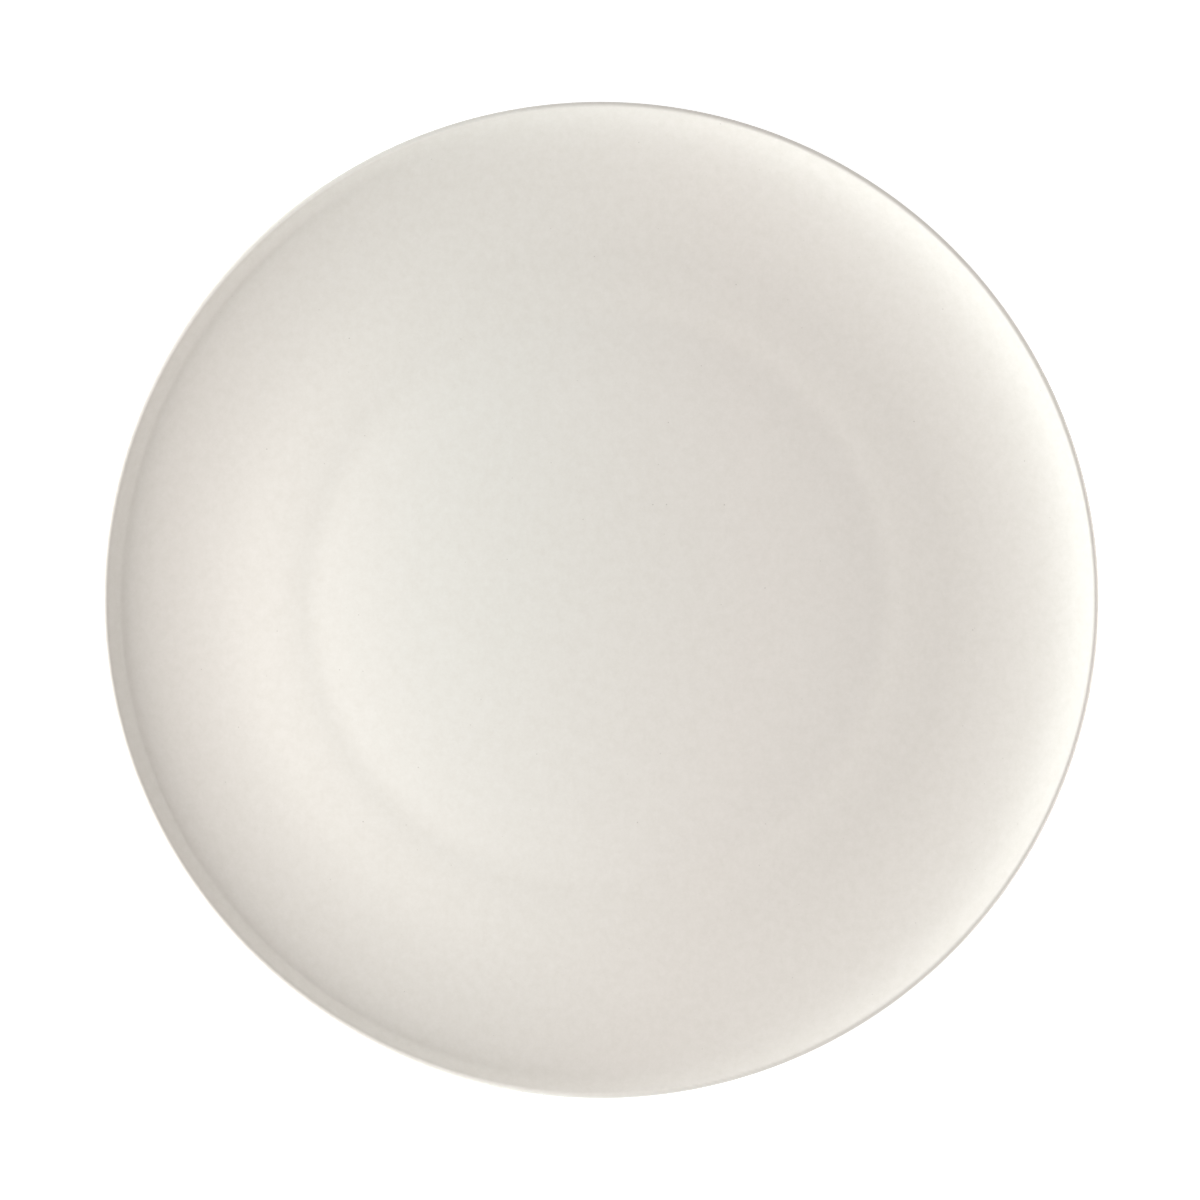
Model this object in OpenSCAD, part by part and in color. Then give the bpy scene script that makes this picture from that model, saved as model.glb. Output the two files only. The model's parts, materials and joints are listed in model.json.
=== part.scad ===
// Coupe charger plate: a pressed stoneware body on a foot ring, under a fired glaze.
// Millimetres. The origin is the middle of the foot ring on the table, and +Z is up.
// Every section is drawn as [distance from the axis, height] and turned about the axis.

/* [Plate] */
// Diameter over the glazed lip
plate_d = 320; // [308:1:340]
// Height from the table to the top of the lip
plate_h = 30; // [27:0.5:32]

/* [Wall] */
// Steepness of the wall where it runs into the lip, in degrees
wall_angle = 48; // [44:1:54]
// Length of the straight part of the wall, just below the lip
wall_l = 6; // [4:0.5:7]
// Slope at which the wall's gentle lower curve gives way to its tighter upper one, in degrees
wall_mid_angle = 31; // [26:1:36]
// How many times gentler the lower curve is than the upper one, on the inside
wall_ease = 1.75; // [1.25:0.25:2]
// Thickness of the glazed lip, which is fully rounded
lip_t = 2.2; // [1.8:0.1:3.2]

/* [Flange] */
// Slope of the flange between the well and the wall, in degrees
flange_angle = 2.5; // [1.5:0.5:4]
// Thickness of the flange, glaze included
flange_t = 4.8; // [4.2:0.1:5.2]

/* [Well] */
// Width of the border over which the flat middle falls away into the soft ring over the foot
well_edge_w = 24; // [16:0.5:28]
// Thickness of the base in the middle of the well, glaze included
base_t = 4.8; // [4.4:0.1:6]
// Slope of the well where it falls into the ring, in degrees
ring_fall = 4.2; // [2.8:0.2:5]
// Steepest slope of the far side of the ring, in degrees
ring_rise = 7.5; // [5:0.5:9]
// Width of the hollow of the ring
ring_w = 6.5; // [5:0.5:8]
// Width over which its far side eases off into the flange
ring_ease_w = 6; // [4:0.5:8]

/* [Foot ring] */
// Distance from the edge of the lip in to the middle of the foot ring
foot_inset = 65; // [60:0.5:75]
// Width of the flat bearing edge
foot_w = 3.6; // [2.4:0.1:5]
// Height of the glazed base above the table
foot_h = 2.8; // [2.4:0.1:3.6]
// Rounding of the two edges of the foot ring
foot_edge_r = 0.8; // [0.4:0.1:1]
// Fillet of the glaze where the foot ring meets the plate
foot_fillet_r = 1.2; // [0.6:0.1:1.6]

/* [Glaze] */
// Thickness of the fired glaze
glaze_t = 0.4; // [0.3:0.05:0.6]
// Height up to which the glaze is wiped off the foot ring
wipe_h = 1.2; // [1.1:0.1:1.5]

/* [Hidden] */
$fn = 240;

// Largest distance between a drawn arc and the true one
arc_tol = 0.01;

// Upward direction square to a surface that rises outwards at a slope
function normal(slope) = [-sin(slope), cos(slope)];

// Lip: a full round, met by both sides of the wall at the wall's angle
lip_r = lip_t / 2;
lip_c = [plate_d / 2 - lip_r, plate_h - lip_r];
down = [-cos(wall_angle), -sin(wall_angle)];

// Well: level in the middle, then a hollow ring that sank over the foot, and up to the flange.
// Each station is [distance from the axis, slope], and an arc joins it to the next.
well_z = foot_h + base_t;
foot_mid = plate_d / 2 - foot_inset;
ring_out = foot_mid + ring_w / 4;
ring_in = ring_out - ring_w;
stations = [
    [ring_in - well_edge_w, 0],
    [ring_in, -ring_fall],
    [ring_out, ring_rise],
    [ring_out + ring_ease_w, flange_angle]
];

// Radius of the arc that starts at a station, negative where it is crowned
function bend_r(i) =
    (stations[i + 1].x - stations[i].x) / (sin(stations[i + 1].y) - sin(stations[i].y));

// Point of the glazed face at a station
function face_at(i) = i == 0
    ? [stations[0].x, well_z]
    : face_at(i - 1) + bend_r(i - 1) * (normal(stations[i - 1].y) - normal(stations[i].y));

// Flange: the face at its start, and the underside below that
flange_start = face_at(3);
under_start = flange_start - flange_t * normal(flange_angle);

// Wall: a gentle and then a tighter arc turn the flange into the straight part below the lip.
// The two arcs are less unlike outside than inside, so that the wall thins evenly to the lip.
outer_ease = 1 + (wall_ease - 1) / 3;
function turn(ease) = ease * (normal(flange_angle) - normal(wall_mid_angle))
    + normal(wall_mid_angle) - normal(wall_angle);
// Radius of the tighter arc, from the flange's line through start to end
function turn_r(start, end, ease) =
    (end - start) * normal(flange_angle) / (turn(ease) * normal(flange_angle));

inner_end = lip_c + lip_r * normal(wall_angle) + wall_l * down;
inner_r = turn_r(flange_start, inner_end, wall_ease);
inner_c = inner_end + inner_r * normal(wall_angle);
inner_low_r = wall_ease * inner_r;
inner_low_c = inner_c + (inner_low_r - inner_r) * normal(wall_mid_angle);
outer_end = lip_c - lip_r * normal(wall_angle) + wall_l * down;
outer_r = turn_r(under_start, outer_end, outer_ease);
outer_c = outer_end + outer_r * normal(wall_angle);
outer_low_r = outer_ease * outer_r;
outer_low_c = outer_c + (outer_low_r - outer_r) * normal(wall_mid_angle);

// Foot ring: bare clay sides, and the same sides under the glaze
foot_in = foot_mid - foot_w / 2 - foot_edge_r;
foot_out = foot_mid + foot_w / 2 + foot_edge_r;
glazed_in = foot_in - glaze_t;
glazed_out = foot_out + glaze_t;
// The fillet ends above the wiped line, however low the base is
fillet_r = min(foot_fillet_r, 0.9 * (min(foot_h, under_start.y) - wipe_h));
fillet_x = glazed_out + fillet_r;
fillet_z = under_start.y + (fillet_x - under_start.x) * tan(flange_angle)
    - fillet_r / cos(flange_angle);

// Points along an arc about c, close enough together to stay within arc_tol
function arc(c, r, from, to) =
    let (steps = max(3, ceil(abs(to - from) / (2 * acos(1 - arc_tol / abs(r))))))
    [for (i = [0 : steps]) let (a = from + (to - from) * i / steps) c + r * [cos(a), sin(a)]];

function backwards(path) = [for (i = [len(path) - 1 : -1 : 0]) path[i]];

// Face, lip, outside and underside, from the axis round to the wiped line on the foot ring.
// depth is how far below the glazed surface the path runs.
function upper_path(depth) = concat(
    [[0, well_z - depth]],
    [for (i = [0 : 2])
        each arc(face_at(i) + bend_r(i) * normal(stations[i].y), bend_r(i) + depth,
            -90 + stations[i].y, -90 + stations[i + 1].y)],
    arc(inner_low_c, inner_low_r + depth, -90 + flange_angle, -90 + wall_mid_angle),
    arc(inner_c, inner_r + depth, -90 + wall_mid_angle, -90 + wall_angle),
    arc(lip_c, lip_r - depth, 90 + wall_angle, -90 + wall_angle),
    arc(outer_c, outer_r - depth, -90 + wall_angle, -90 + wall_mid_angle),
    arc(outer_low_c, outer_low_r - depth, -90 + wall_mid_angle, -90 + flange_angle),
    arc([fillet_x, fillet_z], fillet_r + depth, 90 + flange_angle, 180),
    [[glazed_out - depth, wipe_h]]
);

// Recessed base, from the wiped line on the inside of the foot ring to the axis
function base_path(depth) = concat(
    [[glazed_in + depth, wipe_h]],
    arc([glazed_in - fillet_r, foot_h - fillet_r], fillet_r + depth, 0, 90),
    [[0, foot_h + depth]]
);

// Bearing edge of the foot ring, from its outside to its inside
function bearing_edge() = concat(
    arc([foot_mid + foot_w / 2, foot_edge_r], foot_edge_r, 0, -90),
    arc([foot_mid - foot_w / 2, foot_edge_r], foot_edge_r, -90, -180)
);

// Fired clay with its foot ring, bare on the bearing edge
module stoneware_body() {
    color("tan")
        rotate_extrude()
            polygon(concat(upper_path(glaze_t), bearing_edge(), base_path(glaze_t)));
}

// Glaze over the face, the lip, the outside and the underside
module glaze_coat() {
    color("linen")
        rotate_extrude()
            polygon(concat(upper_path(0), backwards(upper_path(glaze_t))));
}

// Glaze on the base inside the foot ring
module base_glaze() {
    color("ivory")
        rotate_extrude()
            polygon(concat(base_path(0), backwards(base_path(glaze_t))));
}

stoneware_body();
glaze_coat();
base_glaze();
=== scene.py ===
import json
import math

import bmesh
import bpy
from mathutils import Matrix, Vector


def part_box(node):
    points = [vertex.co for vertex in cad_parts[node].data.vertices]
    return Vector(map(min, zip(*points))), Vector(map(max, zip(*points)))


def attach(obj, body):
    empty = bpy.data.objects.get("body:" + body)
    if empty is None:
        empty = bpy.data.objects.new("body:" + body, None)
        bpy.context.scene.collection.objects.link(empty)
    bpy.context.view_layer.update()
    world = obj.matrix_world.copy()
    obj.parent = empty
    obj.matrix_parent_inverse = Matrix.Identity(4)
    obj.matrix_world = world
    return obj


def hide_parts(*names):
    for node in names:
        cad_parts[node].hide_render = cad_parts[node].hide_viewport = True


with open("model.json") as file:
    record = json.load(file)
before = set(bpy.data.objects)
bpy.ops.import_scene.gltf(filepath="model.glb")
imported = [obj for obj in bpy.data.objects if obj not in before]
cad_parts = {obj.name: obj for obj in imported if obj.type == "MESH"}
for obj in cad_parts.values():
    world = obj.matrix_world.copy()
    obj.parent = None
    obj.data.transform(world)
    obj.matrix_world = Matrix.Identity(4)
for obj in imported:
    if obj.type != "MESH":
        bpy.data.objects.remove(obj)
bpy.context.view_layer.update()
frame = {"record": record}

# Stoneware body: the fired clay of the plate, pressed in one piece with its foot ring.
# It is buff stoneware, bare only on the edge it stands on, where the glaze was wiped off.
MM = 0.001
TURN_STEPS = 300

mounts = {mount["name"]: Vector(mount["pos_m"]) for mount in frame["record"]["mounts"]}
glaze_low, glaze_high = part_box("glaze_coat")
clay_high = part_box("stoneware_body")[1]
base_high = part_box("base_glaze")[1]

plate_r = glaze_high.x
plate_h = glaze_high.z
glaze_t = glaze_high.z - clay_high.z
wipe_h = glaze_low.z
well_z = mounts["well_floor"].z
base_z = base_high.z - glaze_t
foot_mid = mounts["foot_ring_edge"].x
foot_in = base_high.x
foot_out = 2 * foot_mid - foot_in

lip_r = 1.1 * MM
wall_angle = math.radians(48.75)
wall_bow = math.radians(0.4)
wall_l = 5.5 * MM
wall_mid_angle = math.radians(31)
wall_ease = 1.75
flange_angle = math.radians(2.9)
flange_t = 4.8 * MM
ring_fall = math.radians(3.1)
ring_rise = math.radians(6.1)
ring_w = 6.5 * MM
ring_out = foot_mid + ring_w / 4
ring_ease_w = 6 * MM
well_edge_w = 24 * MM
well_r = ring_out - ring_w - well_edge_w
foot_edge_r = 0.8 * MM
fillet_r = 1.2 * MM
sag_h = 0.9 * MM
sag_r = 105 * MM
sag_turn = math.radians(7.6)
sag_across = Vector((-math.sin(sag_turn), math.cos(sag_turn), 0))


def normal(slope):
    """The upward direction square to a surface that rises outwards at slope."""
    return Vector((-math.sin(slope), 0, math.cos(slope)))


# Well, soft ring over the foot and start of the flange, as distances from the axis and slopes
stations = [(well_r, 0), (ring_out - ring_w, -ring_fall), (ring_out, ring_rise),
            (ring_out + ring_ease_w, flange_angle)]
bends = []
flange_start = Vector((well_r, 0, well_z))
for (x, slope), (next_x, next_slope) in zip(stations, stations[1:]):
    radius = (next_x - x) / (math.sin(next_slope) - math.sin(slope))
    bends.append((flange_start + radius * normal(slope), next_slope - slope))
    flange_start = flange_start + radius * (normal(slope) - normal(next_slope))
under_start = flange_start - flange_t * normal(flange_angle)

# Wall and lip: a gentle and a tighter curve, a barely bowed upper part and a full round
lip = Vector((plate_r - lip_r, 0, plate_h - lip_r))
bow_r = wall_l / wall_bow
bow = lip + (lip_r + bow_r) * normal(wall_angle)
top_angle = wall_angle - wall_bow
inner_end = bow - bow_r * normal(top_angle)
outer_end = bow - (bow_r + 2 * lip_r) * normal(top_angle)


def turn_r(start, end, ease):
    """Radius of the tighter of the two arcs that turn the flange's line through start up to end."""
    turn = (ease * (normal(flange_angle) - normal(wall_mid_angle))
            + normal(wall_mid_angle) - normal(top_angle))
    return (end - start).dot(normal(flange_angle)) / turn.dot(normal(flange_angle))


inner_r = turn_r(flange_start, inner_end, wall_ease)
inner = inner_end + inner_r * normal(top_angle)
inner_low_r = wall_ease * inner_r
inner_low = inner + (inner_low_r - inner_r) * normal(wall_mid_angle)
outer_ease = 1 + (wall_ease - 1) / 3
outer_r = turn_r(under_start, outer_end, outer_ease)
outer = outer_end + outer_r * normal(top_angle)
outer_low_r = outer_ease * outer_r
outer_low = outer + (outer_low_r - outer_r) * normal(wall_mid_angle)

glazed_in = foot_in - glaze_t
glazed_out = foot_out + glaze_t
fillet_x = glazed_out + fillet_r
fillet_z = (under_start.z + (fillet_x - under_start.x) * math.tan(flange_angle)
            - fillet_r / math.cos(flange_angle))


def straight(bm, pen, x, z, steps=1):
    """Draws the outline on in a straight line and returns its new end."""
    move = (Vector((x, 0, z)) - pen.co) / steps
    for _ in range(steps):
        pen = bmesh.ops.extrude_vert_indiv(bm, verts=[pen])["verts"][0]
        bmesh.ops.translate(bm, verts=[pen], vec=move)
    return pen


def arc(bm, pen, x, z, angle, steps):
    """Draws the outline on along an arc about (x, z), clockwise for a positive angle."""
    swept = bmesh.ops.spin(bm, geom=[pen], cent=(x, 0, z), axis=(0, 1, 0), angle=angle, steps=steps)
    return next(part for part in swept["geom_last"] if isinstance(part, bmesh.types.BMVert))


def upper_outline(bm, depth, end_z):
    """Face, lip, outside and underside, depth below the glazed surface, to end_z on the foot ring."""
    pen = bm.verts.new((0, 0, well_z - depth))
    pen = straight(bm, pen, well_r, well_z - depth, 12)
    for centre, bend in bends:
        pen = arc(bm, pen, centre.x, centre.z, -bend, 8)
    face = inner_low - (inner_low_r + depth) * normal(flange_angle)
    pen = straight(bm, pen, face.x, face.z, 4)
    pen = arc(bm, pen, inner_low.x, inner_low.z, flange_angle - wall_mid_angle, 24)
    pen = arc(bm, pen, inner.x, inner.z, wall_mid_angle - top_angle, 16)
    pen = arc(bm, pen, bow.x, bow.z, -wall_bow, 6)
    pen = arc(bm, pen, lip.x, lip.z, math.pi, 16)
    pen = arc(bm, pen, bow.x, bow.z, wall_bow, 3)
    pen = arc(bm, pen, outer.x, outer.z, top_angle - wall_mid_angle, 18)
    pen = arc(bm, pen, outer_low.x, outer_low.z, wall_mid_angle - flange_angle, 28)
    under = Vector((fillet_x, 0, fillet_z)) + (fillet_r + depth) * normal(flange_angle)
    pen = straight(bm, pen, under.x, under.z, 3)
    pen = arc(bm, pen, fillet_x, fillet_z, flange_angle - math.pi / 2, 6)
    return straight(bm, pen, glazed_out - depth, end_z)


def base_outline(bm, depth, end_z):
    """Recessed base, depth above the glazed surface, from the axis to end_z on the foot ring."""
    pen = bm.verts.new((0, 0, base_z + depth))
    pen = straight(bm, pen, glazed_in - fillet_r, base_z + depth, 12)
    pen = arc(bm, pen, glazed_in - fillet_r, base_z - fillet_r, math.pi / 2, 6)
    return straight(bm, pen, glazed_in + depth, end_z)


def turned(name, bm):
    """Turns a drawn outline about the axis into a smooth piece, with the rim a little sagged by firing."""
    bmesh.ops.spin(bm, geom=bm.verts[:] + bm.edges[:], cent=(0, 0, 0), axis=(0, 0, 1),
                   angle=math.tau, steps=TURN_STEPS, use_merge=True)
    bmesh.ops.remove_doubles(bm, verts=bm.verts, dist=0.001 * MM)
    bmesh.ops.recalc_face_normals(bm, faces=bm.faces)
    for face in bm.faces:
        face.smooth = True
    for vert in bm.verts:
        out = vert.co.to_2d().length
        if out > sag_r:
            reach = (out - sag_r) / (plate_r - sag_r)
            vert.co.z -= sag_h * (reach * vert.co.dot(sag_across) / out) ** 2
    mesh = bpy.data.meshes.new(name)
    bm.to_mesh(mesh)
    bm.free()
    piece = bpy.data.objects.new(name, mesh)
    bpy.context.scene.collection.objects.link(piece)
    return piece


def linear(hex_colour):
    """An sRGB hex colour as the linear RGBA that a shader takes."""
    parts = [int(hex_colour[i:i + 2], 16) / 255 for i in (1, 3, 5)]
    return [p / 12.92 if p <= 0.04045 else ((p + 0.055) / 1.055) ** 2.4 for p in parts] + [1.0]


def add(tree, kind, inputs=(), **settings):
    """Adds a shader node with its settings; an input is a value, or a socket to link."""
    node = tree.nodes.new(kind)
    for key, value in settings.items():
        setattr(node, key, value)
    for key, value in dict(inputs).items():
        if isinstance(value, bpy.types.NodeSocket):
            tree.links.new(value, node.inputs[key])
        else:
            node.inputs[key].default_value = value
    return node


body_mesh = bmesh.new()
pen = upper_outline(body_mesh, glaze_t, foot_edge_r)
pen = arc(body_mesh, pen, foot_out - foot_edge_r, foot_edge_r, math.pi / 2, 5)
pen = straight(body_mesh, pen, foot_in + foot_edge_r, 0)
pen = arc(body_mesh, pen, foot_in + foot_edge_r, foot_edge_r, math.pi / 2, 5)
base_outline(body_mesh, glaze_t, foot_edge_r)
body = turned("fired_clay_body", body_mesh)

# Bare fired clay: dry, grainy and buff, with iron specks, and toasted up to the glaze line.
stoneware = bpy.data.materials.new("bare_buff_stoneware")
stoneware.use_nodes = True
tree = stoneware.node_tree
surface = tree.nodes["Principled BSDF"]
place = add(tree, "ShaderNodeTexCoord").outputs["Object"]
grain = add(tree, "ShaderNodeTexNoise", {"Vector": place, "Scale": 1 / (0.7 * MM), "Detail": 3})
clay = add(tree, "ShaderNodeMix", {0: grain.outputs["Fac"], 6: linear("#b9a488"), 7: linear("#d6c5ab")},
           data_type="RGBA")
height = add(tree, "ShaderNodeSeparateXYZ", {0: place})
toast = add(tree, "ShaderNodeMapRange", {"Value": height.outputs["Z"], "From Min": 0.4 * MM,
                                         "From Max": wipe_h, "To Max": 0.6})
clay = add(tree, "ShaderNodeMix", {0: toast.outputs["Result"], 6: clay.outputs[2], 7: linear("#a5713f")},
           data_type="RGBA")
iron = add(tree, "ShaderNodeTexVoronoi", {"Vector": place, "Scale": 1 / (2 * MM)})
iron = add(tree, "ShaderNodeMapRange", {"Value": iron.outputs["Distance"], "From Min": 0.1,
                                        "From Max": 0.18, "To Min": 0.8, "To Max": 0})
clay = add(tree, "ShaderNodeMix", {0: iron.outputs["Result"], 6: clay.outputs[2], 7: linear("#4f3c2c")},
           data_type="RGBA")
tree.links.new(clay.outputs[2], surface.inputs["Base Color"])
surface.inputs["Roughness"].default_value = 0.9
surface.inputs["Specular IOR Level"].default_value = 0.25
bump = add(tree, "ShaderNodeBump", {"Height": grain.outputs["Fac"], "Strength": 0.6, "Distance": 0.1 * MM})
tree.links.new(bump.outputs["Normal"], surface.inputs["Normal"])
body.data.materials.append(stoneware)
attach(body, "root")
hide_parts("stoneware_body")

# Glaze coat: the satin off-white glaze over the face, the lip, the outside and the underside.
# It was poured on and fired to a thin glass, and ends in a rounded line on the foot ring.
coat_mesh = bmesh.new()
pen = upper_outline(coat_mesh, 0, wipe_h + glaze_t / 2)
arc(coat_mesh, pen, glazed_out - glaze_t / 2, wipe_h + glaze_t / 2, math.pi, 6)
upper_outline(coat_mesh, glaze_t, wipe_h + glaze_t / 2)
coat = turned("satin_glaze_coat", coat_mesh)

# Fired glaze: a clean warm white that varies a little between green and pink at random, with painted
# light over it: a cooler, greener white in a broad oval left of the middle that stands in for the cool
# lamp light there, and pinker away from it for the warm shade. Stippled, a shade deeper in the middle
# of the well and from the ring outwards, with fine brown iron specks and a smooth face that mirrors
# its surroundings softly.
# Oval of painted cool light left of the middle: its centre and half sizes
painted_light_oval_x = -44 * MM
painted_light_oval_y = 26 * MM
painted_light_oval_half_w = 55 * MM
painted_light_oval_half_l = 130 * MM
glaze = bpy.data.materials.new("satin_off_white_glaze")
glaze.use_nodes = True
tree = glaze.node_tree
surface = tree.nodes["Principled BSDF"]
place = add(tree, "ShaderNodeTexCoord").outputs["Object"]
# Painted light: distance from the oval's centre, greener white inside it and pinker white outside
painted_light_oval = add(tree, "ShaderNodeVectorMath", {0: place, 1: (1 / painted_light_oval_half_w, 1 / painted_light_oval_half_l, 0),
                                           2: (-painted_light_oval_x / painted_light_oval_half_w, -painted_light_oval_y / painted_light_oval_half_l, 0)},
            operation="MULTIPLY_ADD")
painted_light_oval = add(tree, "ShaderNodeVectorMath", {0: painted_light_oval.outputs[0]}, operation="LENGTH")
random_drift_and_painted_light = add(tree, "ShaderNodeTexNoise", {"Vector": place, "Scale": 1 / (80 * MM), "Detail": 1})
random_drift_and_painted_light = add(tree, "ShaderNodeMath", {0: random_drift_and_painted_light.outputs["Fac"], 1: 0.3, 2: painted_light_oval.outputs["Value"]},
            operation="MULTIPLY_ADD")
random_drift_and_painted_light = add(tree, "ShaderNodeMapRange", {"Value": random_drift_and_painted_light.outputs[0], "From Min": 0.45, "From Max": 1.85})
# Mix of the greener and pinker whites: painted light from the oval plus the glaze's own random variation
tint = add(tree, "ShaderNodeMix", {0: random_drift_and_painted_light.outputs["Result"], 6: linear("#dedcd5"), 7: linear("#e1dbd4")},
           data_type="RGBA")
mottle = add(tree, "ShaderNodeTexNoise", {"Vector": place, "Scale": 1 / (3 * MM), "Detail": 3,
                                           "Roughness": 0.85})
reach = add(tree, "ShaderNodeVectorMath", {0: place, 1: (1, 1, 0)}, operation="MULTIPLY")
reach = add(tree, "ShaderNodeVectorMath", {0: reach.outputs[0]}, operation="LENGTH").outputs["Value"]
middle = add(tree, "ShaderNodeMapRange", {"Value": reach, "From Min": 25 * MM, "From Max": 80 * MM,
                                          "To Min": 0.055, "To Max": 0}, interpolation_type="SMOOTHSTEP")
rim = add(tree, "ShaderNodeMapRange", {"Value": reach, "From Min": 88 * MM, "From Max": 96 * MM,
                                       "To Max": 0.06}, interpolation_type="SMOOTHSTEP")
deep = add(tree, "ShaderNodeMath", {0: middle.outputs["Result"], 1: rim.outputs["Result"]})
pool = add(tree, "ShaderNodeMapRange", {"Value": mottle.outputs["Fac"], "From Min": 0.3, "From Max": 0.7,
                                        "To Max": 0.26})
pool = add(tree, "ShaderNodeMath", {0: pool.outputs["Result"], 1: deep.outputs[0]})
tint = add(tree, "ShaderNodeMix", {0: pool.outputs[0], 6: tint.outputs[2], 7: linear("#cbc5ba")},
           data_type="RGBA")
iron = add(tree, "ShaderNodeTexVoronoi", {"Vector": place, "Scale": 1 / (4.5 * MM)})
size = add(tree, "ShaderNodeMath", {0: iron.outputs["Color"], 1: 0.07}, operation="MULTIPLY")
speck = add(tree, "ShaderNodeMath", {0: size.outputs[0], 1: iron.outputs["Distance"]}, operation="SUBTRACT")
speck = add(tree, "ShaderNodeMapRange", {"Value": speck.outputs[0], "From Max": 0.047, "To Max": 0.45})
tint = add(tree, "ShaderNodeMix", {0: speck.outputs["Result"], 6: tint.outputs[2], 7: linear("#6b5a48")},
           data_type="RGBA")
tree.links.new(tint.outputs[2], surface.inputs["Base Color"])
sheen = add(tree, "ShaderNodeMapRange", {"Value": mottle.outputs["Fac"], "From Min": 0.3, "From Max": 0.7,
                                         "To Min": 0.045, "To Max": 0.06})
tree.links.new(sheen.outputs["Result"], surface.inputs["Roughness"])
surface.inputs["Specular IOR Level"].default_value = 0.6
peel = add(tree, "ShaderNodeTexNoise", {"Vector": place, "Scale": 1 / (4 * MM), "Detail": 1})
bump = add(tree, "ShaderNodeBump", {"Height": peel.outputs["Fac"], "Strength": 0.2, "Distance": 0.02 * MM})
tree.links.new(bump.outputs["Normal"], surface.inputs["Normal"])
coat.data.materials.append(glaze)
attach(coat, "root")
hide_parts("glaze_coat")

# Base glaze: the same glaze on the recessed base, parted from the coat by the bare foot ring.
# It was poured and fired with the coat, and ends in the same rounded line inside the foot ring.
base_mesh = bmesh.new()
pen = base_outline(base_mesh, 0, wipe_h + glaze_t / 2)
arc(base_mesh, pen, glazed_in + glaze_t / 2, wipe_h + glaze_t / 2, -math.pi, 6)
base_outline(base_mesh, glaze_t, wipe_h + glaze_t / 2)
base = turned("satin_glaze_base", base_mesh)
base.data.materials.append(glaze)
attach(base, "root")
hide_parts("base_glaze")

# Table top: a plain white surface that the plate stands on.
# Its own glow for the camera and for reflections lifts it to white and leaves the shadow in.
floor_mesh = bmesh.new()
bmesh.ops.create_circle(floor_mesh, cap_ends=True, segments=64, radius=8)
bmesh.ops.translate(floor_mesh, verts=floor_mesh.verts, vec=(0, 0, -0.05 * MM))
mesh = bpy.data.meshes.new("table_top")
floor_mesh.to_mesh(mesh)
floor_mesh.free()
floor = bpy.data.objects.new("table_top", mesh)
bpy.context.scene.collection.objects.link(floor)

white = bpy.data.materials.new("white_table_paint")
white.use_nodes = True
tree = white.node_tree
surface = tree.nodes["Principled BSDF"]
surface.inputs["Base Color"].default_value = linear("#f0f0f0")
surface.inputs["Roughness"].default_value = 0.9
rays = add(tree, "ShaderNodeLightPath")
seen = add(tree, "ShaderNodeMath", {0: rays.outputs["Is Camera Ray"], 1: rays.outputs["Is Glossy Ray"]},
           operation="MAXIMUM")
seen = add(tree, "ShaderNodeMath", {0: seen.outputs[0], 1: rays.outputs["Is Transmission Ray"]},
           operation="MAXIMUM")
glow = add(tree, "ShaderNodeMath", {0: seen.outputs[0], 1: 0.5}, operation="MULTIPLY")
surface.inputs["Emission Color"].default_value = (1, 1, 1, 1)
tree.links.new(glow.outputs[0], surface.inputs["Emission Strength"])
floor.data.materials.append(white)

# Studio light: a white tent, brighter overhead, with a dark opening low on the right that the glaze
# mirrors, a soft box close by on the left, a long strip light low behind it and a low card on the right.
tent_level = 0.58
tent_top = 0.3
opening_turn = math.radians(8)
opening_way = Vector((math.cos(opening_turn), math.sin(opening_turn), 0))
tent = bpy.data.worlds.new("light_tent")
bpy.context.scene.world = tent
tent.use_nodes = True
tree = tent.node_tree
way = add(tree, "ShaderNodeTexCoord").outputs["Generated"]
across = add(tree, "ShaderNodeVectorMath", {0: way, 1: opening_way}, operation="DOT_PRODUCT")
across = add(tree, "ShaderNodeMapRange", {"Value": across.outputs["Value"], "From Max": 0.5})
up = add(tree, "ShaderNodeSeparateXYZ", {0: way})
low = add(tree, "ShaderNodeMapRange", {"Value": up.outputs["Z"], "From Min": 0.04, "From Max": 0.25,
                                       "To Min": -tent_level, "To Max": 0})
sides = add(tree, "ShaderNodeMath", {0: across.outputs["Result"], 1: low.outputs["Result"], 2: tent_level},
            operation="MULTIPLY_ADD")
top = add(tree, "ShaderNodeMath", {0: up.outputs["Z"], 1: 0}, operation="MAXIMUM")
top = add(tree, "ShaderNodeMath", {0: top.outputs[0], 1: 2}, operation="POWER")
cloth = add(tree, "ShaderNodeMath", {0: top.outputs[0], 1: tent_top, 2: sides.outputs[0]},
            operation="MULTIPLY_ADD")
tree.links.new(cloth.outputs[0], tree.nodes["Background"].inputs["Strength"])
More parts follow.
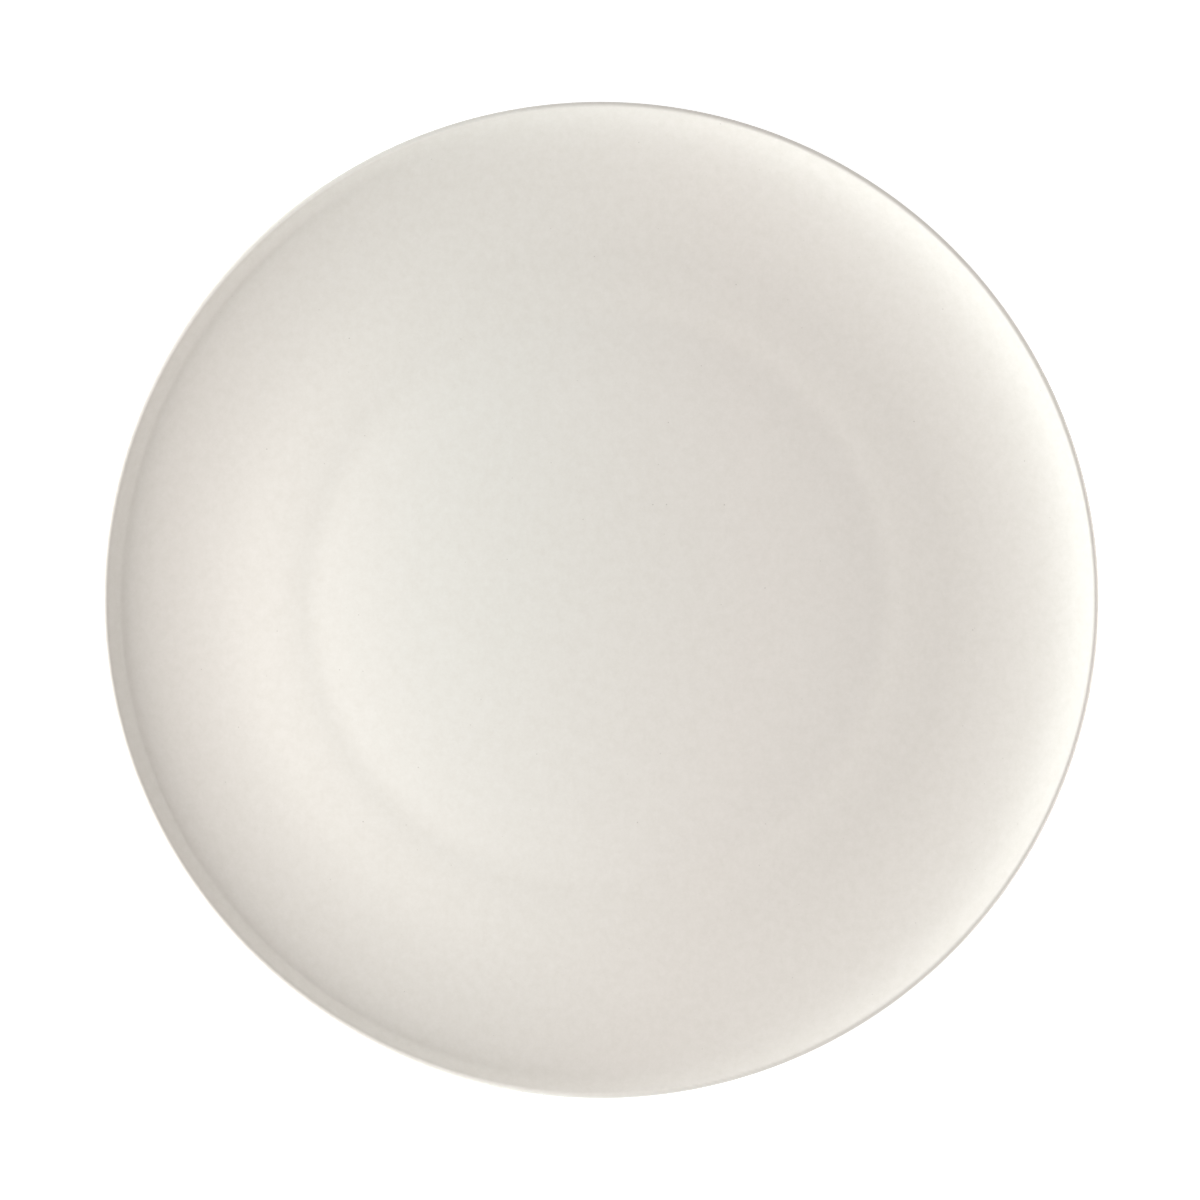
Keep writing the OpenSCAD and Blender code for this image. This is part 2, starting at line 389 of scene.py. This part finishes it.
tree.nodes["Background"].inputs["Color"].default_value = (1, 1, 1, 1)


def soft_box(name, azimuth, distance, height, size, power, colour=(1, 1, 1)):
    """An upright lamp that faces the plate, brightest in its middle and kept out of reflections."""
    way = Vector((math.cos(math.radians(azimuth)), math.sin(math.radians(azimuth)), 0))
    lamp = bpy.data.lights.new(name, "AREA")
    lamp.shape = "RECTANGLE"
    lamp.size, lamp.size_y = size
    lamp.energy = power
    lamp.color = colour
    lamp.use_nodes = True
    tree = lamp.node_tree
    middle = add(tree, "ShaderNodeVectorMath", {0: add(tree, "ShaderNodeNewGeometry").outputs["Parametric"],
                                                1: (2, 2, 0), 2: (-1, -1, 0)}, operation="MULTIPLY_ADD")
    fade = add(tree, "ShaderNodeTexGradient", {"Vector": middle.outputs[0]}, gradient_type="SPHERICAL")
    tree.links.new(fade.outputs["Fac"], tree.nodes["Emission"].inputs["Strength"])
    holder = bpy.data.objects.new(name, lamp)
    holder.location = distance * way + Vector((0, 0, height))
    holder.rotation_euler = (-way).to_track_quat("-Z", "Y").to_euler()
    holder.visible_camera = False
    holder.visible_glossy = False
    bpy.context.scene.collection.objects.link(holder)


soft_box("near_soft_box", azimuth=196, distance=0.26, height=0.18, size=(0.6, 0.3), power=3.36)
soft_box("low_strip_light", azimuth=196, distance=0.75, height=0.06, size=(2.8, 0.12), power=39,
         colour=(0.87, 1, 1.05))
soft_box("low_white_card", azimuth=348, distance=0.4, height=0.015, size=(0.6, 0.03), power=2.4)

# Camera: straight above the plate, as the photograph was taken.
# The plate fills 998 of the 1200 pixels that the photograph is wide.
camera_height = 1.5
photo_px = 1200
plate_px = 998
frame_width = 2 * plate_r * photo_px / plate_px
camera_data = bpy.data.cameras.new("overhead_camera")
camera_data.sensor_width = 36
camera_data.lens = camera_data.sensor_width * (camera_height - plate_h) / frame_width
camera = bpy.data.objects.new("overhead_camera", camera_data)
camera.location = (0, 0, camera_height)
bpy.context.scene.collection.objects.link(camera)
bpy.context.scene.camera = camera

bpy.context.scene.view_settings.view_transform = "Standard"
